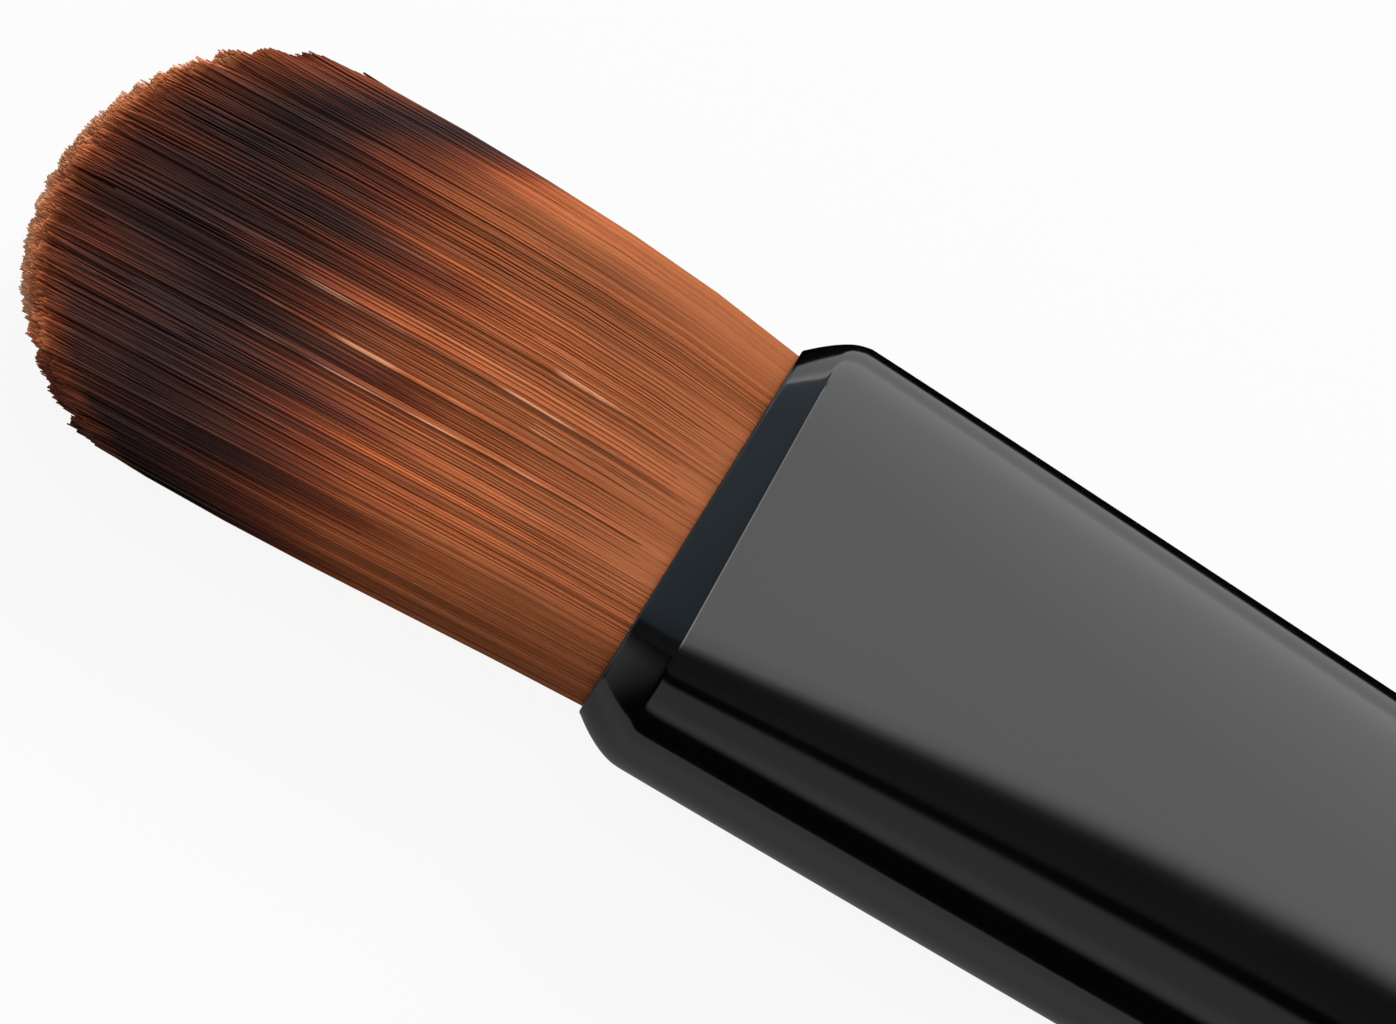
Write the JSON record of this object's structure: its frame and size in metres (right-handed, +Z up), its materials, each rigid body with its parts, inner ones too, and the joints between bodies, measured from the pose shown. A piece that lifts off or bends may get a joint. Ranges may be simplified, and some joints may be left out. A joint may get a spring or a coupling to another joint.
{
  "type": "makeup brush",
  "caption": "Flat foundation brush: a domed two-tone filament tuft in the chamfered mouth of a glossy, tapered oval handle.",
  "frame": {"origin": "centre of the bounding box at its underside, on the surface that the brush lies on", "axes": "+X along the brush from the tuft's tip to the tail cap, +Y across the broad faces, +Z up through the thickness"},
  "size_m": [0.154, 0.0244, 0.014],
  "materials": {
    "black_gloss": "gloss",
    "filament": "satin",
    "resin": "gloss",
    "nylon_thread": "satin",
    "aluminium": "satin",
    "moulded_plastic": "matte",
    "foam": "matte",
    "steel": "satin"
  },
  "bodies": {
    "root": {"bristle_tuft": "filament", "root_resin": "resin", "binding_thread": "nylon_thread", "inner_ferrule": "aluminium", "ferrule_plug": "moulded_plastic", "handle_shell": "black_gloss", "front_pad": "foam", "front_bush": "moulded_plastic", "balance_weight": "steel", "rear_bush": "moulded_plastic", "rear_pad": "foam", "tail_cap": "black_gloss"}
  },
  "joints": []
}
